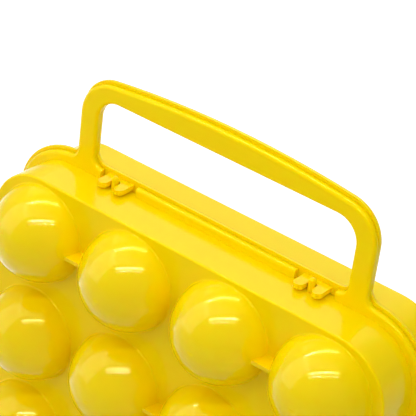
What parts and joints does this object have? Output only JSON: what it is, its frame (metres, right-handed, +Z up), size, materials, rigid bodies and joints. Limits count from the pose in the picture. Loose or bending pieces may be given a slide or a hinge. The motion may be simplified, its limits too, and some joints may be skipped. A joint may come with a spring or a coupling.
{
  "type": "egg carrier",
  "caption": "Hinged plastic clamshell carrier with rows of domed egg cups, a split carrying handle, and snap tongues that hold it shut.",
  "frame": {"origin": "on the ground under the middle of the upright, closed carrier", "axes": "+X across the egg columns, -Y towards the shell that opens, +Z up towards the handle"},
  "size_m": [0.2088, 0.0694, 0.2001],
  "materials": {
    "shell": "glossy bright yellow moulded plastic",
    "pin": "drawn steel wire"
  },
  "bodies": {
    "base": {"rear_shell": "shell", "hinge_pin_left": "pin", "hinge_pin_right": "pin"},
    "lid": {"front_shell": "shell"}
  },
  "joints": [
    {"name": "lid_hinge", "type": "hinge", "parent": "base", "child": "lid", "pos_m": [0, 0.00715, 0.0019], "axis": [1, 0, 0], "range_deg": [0, 180]}
  ]
}
